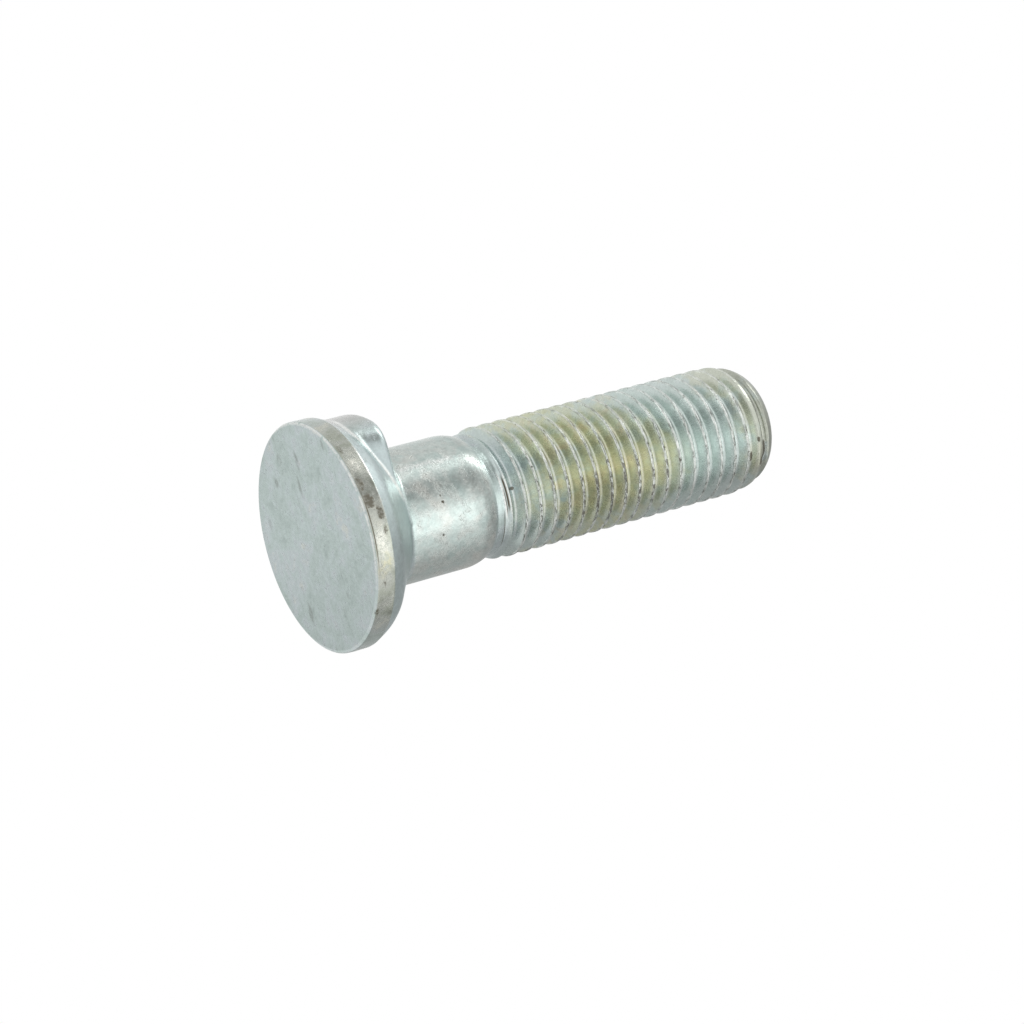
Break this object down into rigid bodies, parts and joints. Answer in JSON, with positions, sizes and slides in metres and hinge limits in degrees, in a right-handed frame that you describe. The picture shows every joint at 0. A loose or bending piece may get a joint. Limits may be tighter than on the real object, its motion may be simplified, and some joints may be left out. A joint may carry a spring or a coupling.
{
  "type": "plough bolt",
  "caption": "Zinc-plated plough bolt: flat countersunk head with a wide nib on its cone against turning, plain shank and coarse thread.",
  "frame": {"origin": "centre of the head's flat face, on which the bolt stands", "axes": "+Z along the bolt's axis from the head to the thread's end, -Y towards the nib, +X to the right seen from the nib's side"},
  "size_m": [0.0334, 0.0334, 0.0757],
  "materials": {
    "zinc_plated_steel": "satin zinc plating with a faint blue and yellow tint"
  },
  "bodies": {
    "root": {"plough_bolt": "zinc_plated_steel"}
  },
  "joints": []
}
